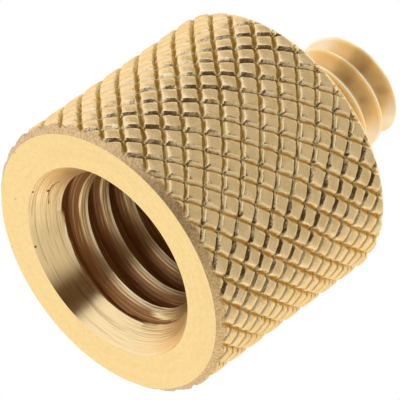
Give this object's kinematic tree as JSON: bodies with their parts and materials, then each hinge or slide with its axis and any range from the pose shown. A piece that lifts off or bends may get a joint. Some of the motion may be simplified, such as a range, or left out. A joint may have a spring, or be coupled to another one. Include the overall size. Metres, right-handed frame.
{
  "type": "tripod thread adapter",
  "caption": "Knurled brass adapter that joins a camera to a tripod: a large tapped hole in one end and a smaller screw on the other.",
  "frame": {"origin": "centre of the ring-shaped face around the tapped hole, on which the part stands", "axes": "+Z along the common axis of both threads, from the tapped hole towards the screw; X and Y across the round body"},
  "size_m": [0.0156, 0.0156, 0.0193],
  "materials": {
    "brass": "satin, as turned and knurled, unlacquered"
  },
  "bodies": {
    "root": {"thread_adapter": "brass"}
  },
  "joints": []
}
